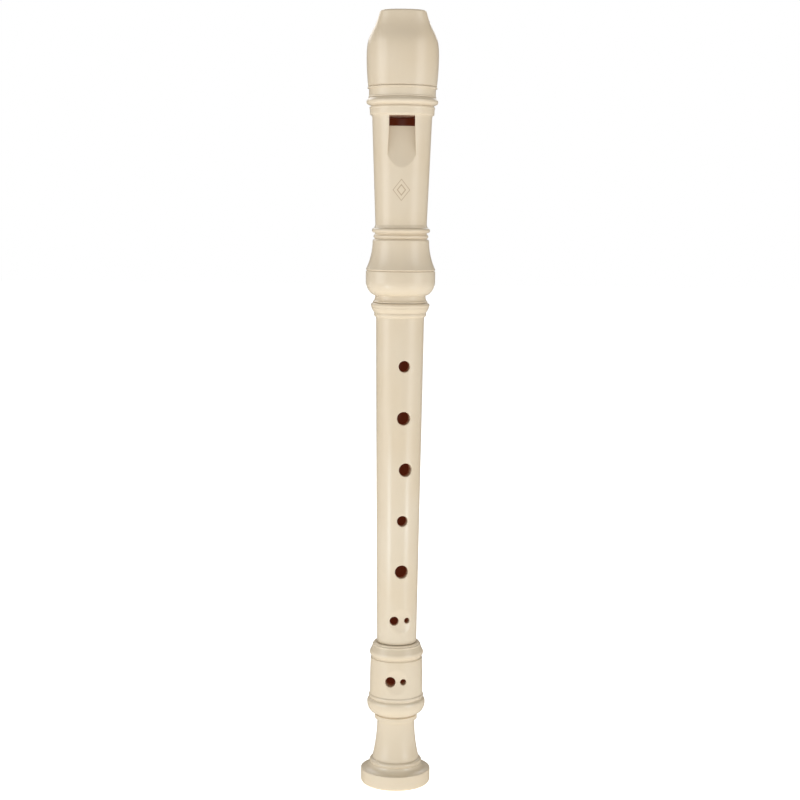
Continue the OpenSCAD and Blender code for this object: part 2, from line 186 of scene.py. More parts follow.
class Joint:
    # a closed ring of material: an outer outline that climbs, an inner one that comes down,
    # both carried once round the axis, with drilled holes let into it

    def __init__(self, outer, inner, inside, dish=None):
        self.profile = np.vstack([outer, inner])
        self.outerRows, self.dish = len(outer), dish
        rows = len(self.profile)
        angle = np.arange(turns) * 2 * math.pi / turns
        radius = np.repeat(self.profile[:, :1], turns, 1)
        height = np.repeat(self.profile[:, 1:], turns, 1)
        if dish is not None:
            radius[:self.outerRows] -= dish(angle[None], height[:self.outerRows])
        self.points = [around(radius, angle[None], height).reshape(-1, 3)]
        # painted shade per point: 0 on the outside, the given values on the inner rows
        self.paintedShade = [np.repeat(np.r_[np.zeros(len(outer)), inside], turns)]
        self.count = rows * turns
        self.skip = np.zeros((rows, turns), bool)
        self.quads = []

    def outerRadius(self, angle, z):
        p = self.profile[:self.outerRows]
        r = np.interp(z, p[self.straight, 1], p[self.straight, 0])
        return r if self.dish is None else r - self.dish(angle, z)

    def innerRadius(self, angle, z):
        # the bore is the same at every angle, which is taken so that both radii are asked for alike
        p = self.profile[self.outerRows:][::-1]
        return np.interp(z, p[:, 1], p[:, 0])

    def addLoops(self, loops, inside):
        numbers = []
        for p, shade in zip(loops, inside):
            self.points.append(p)
            self.paintedShade.append(np.full(len(p), shade))
            numbers.append(self.count + np.arange(len(p)))
            self.count += len(p)
        return numbers

    def drill(self, centre, z, size, lip, lean, offset, columns, innerColumns, rows, innerRows):
        # Lets a hole into the wall. Loops of points run from the edge of a block of outer cells, over
        # the surface to the rounded lip (a quarter circle round the rim), down the bore of the hole,
        # and out over the inner surface to the edge of a block of inner cells.
        p = self.profile
        ro, co = rimLoop(rows, columns)
        ri, ci = rimLoop(innerRows, innerColumns)
        outerEdge, innerEdge = ro * turns + co % turns, ri * turns + ci % turns
        self.skip[min(rows):max(rows), np.arange(*columns) % turns] = True
        self.skip[min(innerRows):max(innerRows), np.arange(*innerColumns) % turns] = True
        step = 2 * math.pi / turns
        axisAngle = centre + lean
        n = np.array([math.sin(axisAngle), -math.cos(axisAngle)])
        t = np.array([math.cos(axisAngle), math.sin(axisAngle)])
        wall = self.outerRadius(np.array(centre), np.array(z))
        place = np.array([math.sin(centre), -math.cos(centre)]) * math.sqrt(wall ** 2 - offset ** 2) \
            + np.array([math.cos(centre), math.sin(centre)]) * offset

        def meet(turn, rho, surface):
            # where a line along the hole, at radius rho and the angle `turn` about its axis, meets a surface
            q = place[None] + rho * np.cos(turn)[:, None] * t
            h = z + rho * np.sin(turn)
            r = surface(np.full(len(h), centre), h)
            for _ in range(4):
                along = q @ n
                w = -along + np.sqrt(np.maximum(along ** 2 - (q ** 2).sum(1) + r ** 2, 1e-9))
                xy = q + w[:, None] * n
                angle = np.arctan2(xy[:, 0], -xy[:, 1])
                r = surface(centre + np.mod(angle - centre + math.pi, 2 * math.pi) - math.pi, h)
            return q, w, h, angle

        def turnTo(angle, height, radius):
            xy = around(radius, angle, height)[:, :2] - place[None]
            return np.arctan2(height - z, xy @ t)

        turnOut = turnTo(co * step, p[ro, 1], self.outerRadius(co * step, p[ro, 1]))
        turnIn = turnTo(ci * step, p[ri, 1], self.innerRadius(ci * step, p[ri, 1]))
        turnIn = turnOut + np.mod(turnIn - turnOut + math.pi, 2 * math.pi) - math.pi
        loops = []
        _, _, h, angle = meet(turnOut, size / 2 + lip, self.outerRadius)
        angle = co * step + np.mod(angle - co * step + math.pi, 2 * math.pi) - math.pi
        for f in np.linspace(0, 1, 12)[1:]:          # over the outer surface, closer together near the rim
            e = 1 - (1 - f) ** 1.4
            a, zz = co * step * (1 - e) + angle * e, p[ro, 1] * (1 - e) + h * e
            loops.append(around(self.outerRadius(a, zz), a, zz))
        for f in np.linspace(0, 90, 6)[1:]:          # the lip
            s, c = math.sin(math.radians(f)), math.cos(math.radians(f))
            q, w, h, _ = meet(turnOut, size / 2 + lip * (1 - s), self.outerRadius)
            xy = q + (w - lip * (1 - c))[:, None] * n
            loops.append(np.column_stack([xy, h]))
        top = w - lip
        for f in (0.1, 0.35, 0.65, 1.0):             # down the hole
            turn = turnOut * (1 - f) + turnIn * f
            q, low, h, angle = meet(turn, size / 2, self.innerRadius)
            w = top * (1 - f) + low * f
            loops.append(np.column_stack([q + w[:, None] * n, h]))
        angle = ci * step + np.mod(angle - ci * step + math.pi, 2 * math.pi) - math.pi
        for e in (0.33, 0.67):                       # over the inner surface
            a, zz = angle * (1 - e) + ci * step * e, h * (1 - e) + p[ri, 1] * e
            loops.append(around(self.innerRadius(a, zz), a, zz))
        # painted shade round each hole: none over the outer surface, a trace at the lip's inner end, rising
        # down the hole to full on the bore
        inside = [0] * 11 + [0, 0, 0.02, 0.05, 0.08] + [0.15, 0.22, 0.36, 0.7, 1, 1]
        numbers = [outerEdge] + self.addLoops(loops, inside) + [innerEdge]
        self.quads += [loopQuads(a, b) for a, b in zip(numbers[:-1], numbers[1:])]

    def finish(self, name):
        grid = gridQuads(len(self.profile), turns, self.skip)
        quads = np.vstack([grid] + self.quads)
        return makeMesh(name, np.vstack(self.points), quads, np.concatenate(self.paintedShade))


def holeRows(holes, low, high, coarse):
    # heights of the rows along a straight stretch: evenly spaced over each hole, wider between them
    zs = [low]
    for h in sorted(holes, key=lambda q: q["z"]):
        a, b = h["z"] - h["reach"], h["z"] + h["reach"]
        zs += list(np.linspace(zs[-1], a, max(2, int((a - zs[-1]) / coarse) + 2)))[1:-1]
        zs += list(np.linspace(a, b, h["rows"] + 1))
    zs += list(np.linspace(zs[-1], high, max(2, int((high - zs[-1]) / coarse) + 2)))[1:]
    return np.array(zs)


def findRows(profile, start, stop, a, b):
    # rows of the profile, between two row numbers, at heights a and b
    z = profile[start:stop, 1]
    return start + int(np.argmin(abs(z - a))), start + int(np.argmin(abs(z - b)))


def planHole(hole, outerR, innerR):
    # how many columns a hole takes outside and inside, and the rows that make both blocks' edges
    # hold the same number of points
    for s in hole["drills"]:
        far = abs(s["offset"]) + s["size"] / 2
        outHalf = math.asin(min(0.98, (far + hole["lip"] + holeRoom["sideways"]) / outerR))
        inFar = abs(s["offset"]) - abs(math.sin(s["lean"])) * (outerR - innerR) + s["size"] / 2
        inHalf = min(math.asin(min(0.97, inFar / innerR)) + math.radians(7), math.radians(80))
        if s["offset"] == 0:
            s["cols"] = spanColumns(hole["angle"], outHalf)
            s["innerCols"] = spanColumns(hole["angle"], inHalf)
        else:
            middle = int(round(hole["angle"] / (2 * math.pi / turns)))
            a, b = spanColumns(hole["angle"], outHalf), spanColumns(hole["angle"], inHalf)
            s["cols"] = (middle, a[1]) if s["offset"] > 0 else (a[0], middle)
            s["innerCols"] = (middle, b[1]) if s["offset"] > 0 else (b[0], middle)
    extra = [s["innerCols"][1] - s["innerCols"][0] - s["cols"][1] + s["cols"][0] for s in hole["drills"]]
    most = max(extra)
    for s, e in zip(hole["drills"], extra):        # the pair shares its rows, so both take the same extra
        a, b = s["innerCols"]
        s["innerCols"] = (a, b + most - e) if s["offset"] > 0 else (a - (most - e), b)
    hole["rows"] = hole["innerRows"] + most
    return hole


def drillAll(joint, holes):
    rows = len(joint.profile)
    for h in holes:
        out = findRows(joint.profile, 0, joint.outerRows, h["z"] - h["reach"], h["z"] + h["reach"])
        inn = findRows(joint.profile, joint.outerRows, rows,
                       h["z"] - h["innerReach"], h["z"] + h["innerReach"])
        for s in h["drills"]:
            joint.drill(h["angle"], h["z"], s["size"], h["lip"], s["lean"], s["offset"],
                        s["cols"], s["innerCols"], out, inn)


# how far the block of cells let out for a hole runs past it, up and down outside, inside, and sideways
holeRoom = dict(outside=0.75, inside=0.6, sideways=0.6, innerRows=6)


def singleHole(angle, z, size, lip):
    drills = [dict(size=size, offset=0, lean=0)]
    return dict(angle=math.radians(angle), z=z, lip=lip, reach=size / 2 + lip + holeRoom["outside"],
                innerReach=size / 2 + holeRoom["inside"], innerRows=holeRoom["innerRows"], drills=drills)


def pairHole(angle, z, sizes, pitch, lean, lip, reach):
    # two holes side by side that lean towards each other inwards
    drills = [dict(size=d, offset=s * pitch / 2, lean=s * math.radians(lean)) for s, d in zip((-1, 1), sizes)]
    return dict(angle=math.radians(angle), z=z, lip=lip, reach=reach, drills=drills,
                innerReach=max(sizes) / 2 + holeRoom["inside"], innerRows=holeRoom["innerRows"])


def dishShape(angle, z, radiusAt, wide, deep):
    # depth of a shallow round dish in a wall: deep times (1 - q^2), as a large ball leaves it, where q is
    # the distance over the surface from the dish's centre divided by its radius; the rim is a little eased
    def depth(a, h):
        across = (np.mod(a - angle + math.pi, 2 * math.pi) - math.pi) * radiusAt
        q = np.clip(1 - (across ** 2 + (h - z) ** 2) / wide ** 2, 0, 1)
        return deep * (np.sqrt(q * q + 0.0004) - 0.02) / 0.98
    return depth


foot = dict(neck=8.05, barrel=11.35, socket=7.05, socketDepth=11.7, bore=5.3, boreStraight=20.0, boreTop=4.9,
            turn=1.6, holeHeight=46.8, holes=(4.4, 2.6), pitch=5.5, lean=6.0, lip=0.4,
            dishRadius=5.2, dishDepth=0.7, dishReach=5.6, barrelFrom=40.2, ringsDrop=7.05)


def footOuter(zs):
    # from the bell's end face up to the rim: rounded bell, cove, bead, long flare, bowl, barrel, top rings
    bell, neck, barrel, top = footHigh[0], foot["neck"], foot["barrel"], rimTop
    beadX, beadR, flare = neck + 2.05, 1.15, 71.0
    coveW = bell - 0.35 - beadX - beadR
    low = outline(
        [foot["bore"] + 0.6, 0], [bell - 2.0, 0], bend(bell - 1.6, 1.6, 1.6, 1.6, -88, 0, 12),
        [bell, 6.0], bend(bell - 0.5, 6.1, 0.5, 0.4, 4, 75, 7),
        bend(bell - 0.5, 8.9, coveW, 2.4, 266, 186, 14), bend(beadX, 9.7, beadR, beadR, -46, 100, 14),
        bend(neck + flare, 28.0, flare, flare, 193, 180.2, 22),
        bend(neck + 0.45, 28.0, 0.42, 0.25, 180, 100, 3), [neck + 0.95, 28.3], [neck + 1.1, 28.5],
        [neck + 1.1, 30.1], [neck + 0.3, 30.3], [neck + 0.3, 30.75],
        bend(barrel - 2.65, 35.8, 3.8, 4.9, -80, 0, 18), bend(barrel + 0.25, 35.8, 0.9, 1.7, 6, 76, 7),
        [barrel + 0.15, 37.7], bend(barrel - 0.55, 38.75, 1, 1, -55, 58, 8), [barrel, 39.85])
    high = outline(
        [barrel - 0.26, top - 6.95], [barrel - 0.75, top - 6.72], [barrel - 0.74, top - 6.5],
        bend(barrel - 1.25, top - 4.5, 1.4, 1.7, -60, 42, 14), [barrel - 0.95, top - 1.75],
        bend(barrel - 1.55, top - 1.2, 0.55, 0.55, -32, 82, 8), [barrel - 1.52, top - 0.5],
        [barrel - 1.5, top - 0.3], [barrel - 1.75, top], [foot["socket"] + 0.3, top])
    body = np.column_stack([np.interp(zs, [foot["barrelFrom"], 48, top - foot["ringsDrop"]],
                                      [barrel, barrel - 0.02, barrel - 0.25]), zs])
    return softened(low, 0.14), body, softened(high, 0.14)


def makeFoot():
    hole = pairHole(foot["turn"], foot["holeHeight"], foot["holes"], foot["pitch"], foot["lean"],
                    foot["lip"], foot["dishReach"])
    planHole(hole, foot["barrel"], foot["boreTop"])
    zs = holeRows([hole], foot["barrelFrom"], rimTop - foot["ringsDrop"], 1.2)
    low, body, high = footOuter(zs)
    outer = np.vstack([low, body, high])
    socketEnd = rimTop - foot["socketDepth"]
    z, r = foot["holeHeight"], hole["innerReach"]
    innerZ = np.r_[socketEnd - 0.02, np.linspace(z + r, z - r, hole["innerRows"] + 1),
                   [38, 32, 26, foot["boreStraight"]]]
    cone = run(foot["boreTop"], socketEnd, foot["bore"], foot["boreStraight"], innerZ)
    cone = np.vstack([cone, [[foot["bore"], 14]]])
    inner = np.vstack([
        softened(outline([foot["socket"] + 0.25, rimTop - 0.02], [foot["socket"], rimTop - 0.35],
                         [foot["socket"], rimTop - 5], [foot["socket"], socketEnd],
                         [foot["boreTop"] + 0.05, socketEnd]), 0.1),
        cone, [[foot["bore"], 10], [foot["bore"], 1.2]],
        bend(foot["bore"] + 0.6, 0.6, 0.6, 0.6, 180, 262, 5)])
    dish = dishShape(hole["angle"], hole["z"], foot["barrel"], foot["dishRadius"], foot["dishDepth"])
    # painted shade: little in the socket, full in the bore, and fading towards the open bell
    inside = np.where(inner[:, 1] > socketEnd - 0.01, 0.15, np.clip((inner[:, 1] - 2) / 14, 0, 1))
    joint = Joint(outer, inner, inside, dish)
    joint.straight = slice(len(low), len(low) + len(body))
    drillAll(joint, [hole])
    return joint.finish("footJoint")


middle = dict(low=8.5, high=10.15, ring=12.4, ringsDrop=6.2,
              tenonHigh=8.9, tenonHighLength=20.0, tenonLow=7.0, tenonLowLength=11.4,
              boreLow=4.9, boreHigh=6.3, turn=12.4, lip=0.42, pitch=21.9, fifthRise=31.9,
              holes=((4.8, 0), (5.6, 0), (5.6, 7), (4.5, 0), (5.6, 0)),
              doubleDrop=21.4, doubleHoles=(3.8, 2.4), doublePitch=5.5, doubleLean=6.0, doubleLip=0.35,
              thumbRise=9.0, thumb=5.2, dishRadius=5.2, dishDepth=0.7, dishReach=5.6)


def middleHoles():
    fifth = middleFoot + middle["fifthRise"]
    holes = [singleHole(middle["turn"] + side, fifth + (4 - k) * middle["pitch"], size, middle["lip"])
             for k, (size, side) in enumerate(middle["holes"])]
    holes.append(singleHole(middle["turn"] + 180, fifth + 4 * middle["pitch"] + middle["thumbRise"],
                            middle["thumb"], middle["lip"]))
    holes.append(pairHole(middle["turn"], fifth - middle["doubleDrop"], middle["doubleHoles"],
                          middle["doublePitch"], middle["doubleLean"], middle["doubleLip"],
                          middle["dishReach"]))
    return holes


def makeMiddle():
    m, tubeTop = middle, middleHead - middle["ringsDrop"]
    boreBottom, boreTop = middleFoot - m["tenonLowLength"], middleHead + m["tenonHighLength"]

    def tube(z):
        return m["low"] + (m["high"] - m["low"]) * (z - middleFoot) / (tubeTop - middleFoot)

    def bore(z):
        return m["boreLow"] + (m["boreHigh"] - m["boreLow"]) * (z - boreBottom) / (boreTop - boreBottom)

    holes = [planHole(h, tube(h["z"]), bore(h["z"])) for h in middleHoles()]
    pair = holes[-1]
    zs = holeRows(holes, middleFoot + 0.25, tubeTop - 0.1, 2.4)
    low = softened(outline([m["boreLow"] + 0.3, boreBottom], [m["tenonLow"] - 0.35, boreBottom],
                           [m["tenonLow"], boreBottom + 0.5], [m["tenonLow"], middleFoot - 4],
                           [m["tenonLow"], middleFoot], [m["low"] - 0.25, middleFoot]), 0.1)
    body = run(m["low"], middleFoot, m["high"], tubeTop, zs)
    ring, tubeR, top = m["ring"], m["high"], middleHead
    high = softened(outline(
        bend(tubeR + 0.35, top - 6.35, 0.35, 0.45, 180, 92, 4),
        bend(tubeR + 0.3, top - 4.9, 0.56, 0.85, -60, 30, 7),
        [tubeR + 0.8, top - 4.35], [tubeR + 0.7, top - 4.25], [tubeR + 0.87, top - 4.05],
        [ring - 0.95, top - 3.4], [ring - 0.35, top - 2.4],
        bend(ring - 0.8, top - 1, 0.8, 0.9, -50, 82, 12), [ring - 0.72, top - 0.02],
        [m["tenonHigh"] + 0.1, top],
        [m["tenonHigh"], top + 0.1], [m["tenonHigh"], top + 9], [m["tenonHigh"], boreTop - 0.6],
        [m["tenonHigh"] - 0.4, boreTop], [m["boreHigh"] + 0.3, boreTop]), 0.12)
    spans = sorted(((h["z"] - h["innerReach"], h["z"] + h["innerReach"], h["innerRows"])
                    for h in holes), reverse=True)
    innerZ = [boreTop - 0.3]
    for a, b, n in spans:
        innerZ += [(innerZ[-1] + b) / 2] + list(np.linspace(b, a, n + 1))
    innerZ += [(innerZ[-1] + boreBottom) / 2, boreBottom + 0.3]
    inner = run(m["boreLow"], boreBottom, m["boreHigh"], boreTop, innerZ)
    dish = dishShape(pair["angle"], pair["z"], tube(pair["z"]), m["dishRadius"], m["dishDepth"])
    # painted shade: full in the bore, less at its two ends
    inside = np.ones(len(inner))
    inside[0] = inside[-1] = 0.3
    joint = Joint(np.vstack([low, body, high]), inner, inside, dish)
    joint.straight = slice(len(low), len(low) + len(body))
    drillAll(joint, holes)
    return joint.finish("middleJoint")


head = dict(bulb=14.6, thin=10.8, thick=12.5, bead=14.98, socket=8.95, socketDepth=20.4, bore=6.8,
            spigot=11.7, windowWidth=10.6, windowHeight=3.8, windowDrop=8.0, windowLift=0.3,
            rampLength=17.4, rampWidth=12.0, rampKnee=0.27, rampShare=0.68,
            labium=7.5, labiumThick=0.45, roof=8.2, undercut=10.0,
            coneRise=32.8, coneDrop=8.1, spigotLength=6.0, across=44, lip=0.15)


def headOutline(coneRows):
    # from the bottom rim up: foot flare, bulb with its scored line, vase flare, rings, cone, rings and
    # large bead
    h, z = head, headRim
    bulb, thin, thick, bead = h["bulb"], h["thin"], h["thick"], h["bead"]
    waist, flareTop, flareR = bulb - 3.95, 26.1, thin + 1.05
    rise, out = flareTop - 13.9, bulb - flareR
    sweep = (rise ** 2 + out ** 2) / (2 * out)
    low = softened(outline(
        [h["socket"] + 0.3, z], [waist + 0.75, z], [waist + 0.9, z + 0.15], [waist + 0.9, z + 0.5],
        [waist + 0.62, z + 0.65], bend(waist + 0.75, z + 2.9, 0.75, 2.2, 250, 182, 12),
        bend(bulb - 4.9, z + 9.2, 4.9, 6.4, -79, 0, 24), [bulb, z + 13.1], [bulb - 0.5, z + 13.2],
        [bulb, z + 13.8], [bulb, z + 13.9],
        bend(flareR + sweep, z + flareTop, sweep, sweep,
             180 + math.degrees(math.asin(rise / sweep)), 180.5, 26),
        [flareR - 0.3, z + 26.4], [thin + 0.1, z + 26.62],
        bend(thin + 0.15, z + 27.7, 0.6, 0.65, -65, 65, 9),
        [thin + 0.1, z + 28.75], [thin + 0.13, z + 29.2],
        bend(thin + 0.35, z + 30.2, 1.05, 1, -60, 72, 12),
        [thin + 0.36, z + 31.35], [thin + 0.36, z + 31.72], [thin + 0.18, z + 31.85],
        [thin + 0.18, z + 32.2], [thin + 0.02, z + 32.35]), 0.1)
    coneHeights = [z + h["coneRise"], seam - h["coneDrop"], seam - 7.3]
    cone = np.column_stack([np.interp(coneRows, coneHeights, [thin, thick, thick + 0.2]), coneRows])
    high = softened(outline(
        [thick + 0.2, seam - 7.3], [thick + 0.8, seam - 7.0],
        [thick + 0.95, seam - 6.6], [thick + 1.0, seam - 4.6],
        [thick + 1.18, seam - 4.45], [thick + 1.18, seam - 3.85], [thick + 0.65, seam - 3.55],
        [thick + 0.72, seam - 3.2], bend(bead - 1, seam - 1.65, 1, 1.05, -60, 48, 12),
        [bead - 0.75, seam - 0.25], [bead - 0.95, seam], [h["spigot"] + 0.1, seam],
        [h["spigot"], seam + 0.1], [h["spigot"], seam + h["spigotLength"] - 0.4],
        [h["spigot"] - 0.4, seam + h["spigotLength"]], [h["roof"] + 0.6, seam + h["spigotLength"]]), 0.1)
    return low, cone, high


def headColumns(width, radius, drop, depthInside):
    # One row of points round the head. The front stretch is laid out by x, so that its ends stay on the
    # cheeks of the ramp; a quarter-circle lip turns each cheek in; the rest is evenly spaced by angle.
    # drop is how far the lip goes down, depthInside the depth of each front point from the axis.
    h, n = head, head["across"]
    x = np.linspace(-width / 2, width / 2, n + 1)
    front = np.column_stack([x, -depthInside])
    turn = np.radians([0, 25, 50, 75])
    lipX = width / 2 + h["lip"] * (1 - np.sin(turn)) + 0.01
    lipDepth = np.sqrt(radius ** 2 - lipX ** 2) - drop * (1 - np.cos(turn))
    right = np.column_stack([lipX[::-1], -lipDepth[::-1]])
    left = np.column_stack([-lipX, -lipDepth])
    start = math.asin(lipX[0] / radius)
    rest = turns - (n + 1) - 2 * len(turn)
    a = np.linspace(start, 2 * math.pi - start, rest + 2)[1:-1]
    back = np.column_stack([radius * np.sin(a), -radius * np.cos(a)])
    return np.vstack([front, right, back, left])


def softMost(a, b, size):
    # the greater of two depths, with the corner between them rounded
    return -softLeast(-a, -b, size)


def softLeast(a, b, size=0.08):
    # the lesser of two depths, with the corner between them rounded: a quadratic blend within `size`
    d = np.clip(0.5 + 0.5 * (b - a) / size, 0, 1)
    return b * (1 - d) + a * d - size * d * (1 - d)


def makeHead():
    h = head
    windowTop = seam - h["windowDrop"]
    windowLow = windowTop - h["windowHeight"]
    rampLow = windowLow - h["rampLength"]
    coneLow = headRim + h["coneRise"]
    coneRows = np.r_[coneLow, np.linspace(coneLow, rampLow - 1, 16)[1:],
                     np.linspace(rampLow - 0.6, windowLow, 70),
                     np.linspace(windowLow, windowTop + h["windowLift"], 9)[1:]]
    low, cone, high = headOutline(coneRows)
    outer = np.vstack([low, cone, high])
    fall = np.interp(rampLow, [coneLow, seam - h["coneDrop"]], [h["thin"], h["thick"]]) - h["labium"]
    knee = h["rampKnee"] * h["rampLength"]         # where the ramp's lower, steeper part begins
    rows = []
    x = np.linspace(-0.5, 0.5, h["across"] + 1)
    for r, z in outer:
        inRamp = rampLow - 1.5 < z <= windowLow + 1e-6 and r < h["thick"] + 0.01
        inWindow = windowLow < z < windowTop + h["windowLift"] - 1e-6 and r < h["thick"] + 0.19
        spread = np.clip((windowLow - z) / h["rampLength"], 0, 1)
        width = h["windowWidth"] + (h["rampWidth"] - h["windowWidth"]) * spread
        if z <= rampLow - 1.5:
            width = h["rampWidth"]
        surface = np.sqrt(r ** 2 - (x * width) ** 2)
        drop, depth = 0.0, surface
        if inRamp:
            share = h["rampShare"]
            upper = h["labium"] + share * fall * (windowLow - z) / (h["rampLength"] - knee)
            lower = h["labium"] + share * fall + (1 - share) * fall * (rampLow + knee - z) / knee
            depth = softLeast(surface, np.full_like(surface, softMost(upper, lower, 0.7)))
            drop = min(h["lip"], max(0.0, float(surface[0] - depth[0])))
        elif inWindow:
            drop = h["lip"]
        rows.append(np.column_stack([headColumns(width, r, drop, depth), np.full(turns, z)]))
    # inner surface, from the spigot's end down to the socket's mouth
    top, socketTop = seam + h["spigotLength"], headRim + h["socketDepth"]
    flat = windowLow - h["undercut"]
    innerRows = [(h["bore"], top - 0.02, h["roof"]), (h["bore"], windowTop + 5, h["roof"])]
    innerRows += [(h["bore"], z, h["roof"] if z > windowTop - 1e-6 else h["labium"] - h["labiumThick"])
                  for z in np.linspace(windowLow, windowTop, 9)[::-1]]
    innerRows += [(h["bore"], z, h["labium"] - h["labiumThick"]) for z in (windowLow - 4, flat + 0.05)]
    innerRows += [(h["bore"], z, None) for z in (flat, flat - 15, flat - 30, socketTop + 0.1)]
    innerRows += [(h["bore"] + 0.1, socketTop, None), (h["socket"] - 0.1, socketTop, None),
                  (h["socket"], socketTop - 0.1, None), (h["socket"], headRim + 8, None),
                  (h["socket"], headRim + 0.4, None), (h["socket"] + 0.25, headRim + 0.05, None)]
    for r, z, depth in innerRows:
        surface = np.sqrt(r ** 2 - (x * h["windowWidth"]) ** 2)
        inside = surface if depth is None else np.maximum(surface, depth)
        rows.append(np.column_stack([headColumns(h["windowWidth"], r, 0.0, inside), np.full(turns, z)]))
    points = np.vstack(rows)
    count, outCount = len(rows), len(outer)
    # painted shade: full in the bore, slight in the socket
    inside = np.array([0.1 if r > h["bore"] + 0.05 else 1.0 for r, z, depth in innerRows])
    paintedShade = np.repeat(np.r_[np.zeros(outCount), inside], turns)
    # the window: cells between its sides are left out of both surfaces, and their edges are joined
    coneStart = len(low)
    a = coneStart + int(np.argmin(abs(cone[:, 1] - windowLow)))
    b = coneStart + len(cone) - 1
    c, d = outCount + 2, outCount + 10              # inner rows at the window's top and at its lower edge
    n = h["across"]
    skip = np.zeros((count, turns), bool)
    sideCols = np.r_[np.arange(0, n + 1), turns - 1]
    skip[a:b, sideCols] = True
    skip[c:d, sideCols] = True
    across = np.arange(0, n + 1)
    left, right = turns - 1, n + 1

    def windowEdge(lowRow, highRow):
        up = np.linspace(lowRow, highRow, 9).round().astype(int)
        r = np.r_[np.full(n + 3, lowRow), up[1:-1], np.full(n + 3, highRow), up[1:-1][::-1]]
        col = np.r_[left, across, right, np.full(7, right), right, across[::-1], left, np.full(7, left)]
        return r * turns + col

    quads = [gridQuads(count, turns, skip), loopQuads(windowEdge(a, b), windowEdge(d, c))]
    return makeMesh("headBarrel", points, np.vstack(quads), paintedShade, 38)


beak = dict(full=15.04, tipHalf=9.5, tipFront=11.0, tipBack=-3.8, cheekLength=18.5, frontLength=20.0,
            chinLength=27.0, edge=0.8, socket=11.75, mouthHalf=5.3, mouthFront=8.7, throatFront=8.2,
            tongueBack=5.35, corner=16, fullRise=17.5, fullFall=226, tipCentre=5.2, tipDepth=10.5)
# share of the length from the tip, and share of the widening reached there: slow, then quick, then slow
cheekSteps = ([0, 0.135, 0.26, 0.324, 0.384, 0.449, 0.508, 0.568, 0.627, 0.686, 0.746, 0.87, 1],
              [0, 0.13, 0.28, 0.37, 0.48, 0.6, 0.7, 0.79, 0.865, 0.92, 0.953, 0.99, 1])
frontSteps = ([0, 0.17, 0.25, 0.32, 0.39, 0.46, 0.53, 0.6, 0.68, 0.77, 0.88, 1],
              [0, 0.11, 0.2, 0.3, 0.42, 0.55, 0.68, 0.79, 0.88, 0.945, 0.985, 1])


def beakSection(z, inset):
    # One section of the beak at height z, drawn in by `inset`. A superellipse |x/a|^n + |y/b|^n = 1 is
    # carried round its own centre, and the chin's plane cuts its back with a rounded corner, by a power
    # mean of the two distances along each ray.
    k = beak
    down = tip - z
    s = float(eased(down / k["cheekLength"], *cheekSteps))
    f = float(eased(down / k["frontLength"], *frontSteps))
    swell = k["full"] - max(0, seam + k["fullRise"] - z) ** 2 / k["fullFall"]
    a = k["tipHalf"] + (swell - k["tipHalf"]) * s - inset
    front = k["tipFront"] + (swell - k["tipFront"]) * f - inset
    centre = (1 - f) * k["tipCentre"]               # the section's centre moves forward towards the tip
    depth = front - centre
    backDepth = swell * f + k["tipDepth"] * (1 - f)
    power = 2 + 0.2 * (1 - f)
    t = np.arange(turns) * 2 * math.pi / turns
    x = a * np.sign(np.sin(t)) * abs(np.sin(t)) ** (2 / power)
    y = -np.sign(np.cos(t)) * abs(np.cos(t)) ** (2 / power)
    y = y * np.where(y > 0, backDepth, depth)
    u = down / k["chinLength"]
    if u <= 1:
        cut = k["tipBack"] + (k["full"] - k["tipBack"]) * (1 - math.sqrt(1 - u * u)) ** 0.9
    else:
        cut = k["full"] + (u - 1) * k["chinLength"] * 2.5
    cut = cut - inset + centre                      # from the section's own centre
    rho = np.hypot(x, y)
    reach = np.where(y > 1e-6, cut * rho / np.maximum(y, 1e-6), 1e9)
    scale = (1 + (rho / reach) ** k["corner"]) ** (-1 / k["corner"])
    return np.column_stack([x * scale, y * scale - centre, np.full(turns, z)])


def rectangleLoop(half, front, back, like, z):
    # a rectangle sampled at the same shares of its length as the loop `like` of its own
    step = np.hypot(*(np.roll(like, -1, 0) - like)[:, :2].T)
    share = np.r_[0, np.cumsum(step)[:-1]] / step.sum()
    corners = np.array([[0, -front], [half, -front], [half, -back],
                        [-half, -back], [-half, -front], [0, -front]])
    side = np.r_[0, np.cumsum(np.hypot(*np.diff(corners, axis=0).T))]
    s = share * side[-1]
    x, y = np.interp(s, side, corners[:, 0]), np.interp(s, side, corners[:, 1])
    return np.column_stack([x, y, np.full(turns, z)])


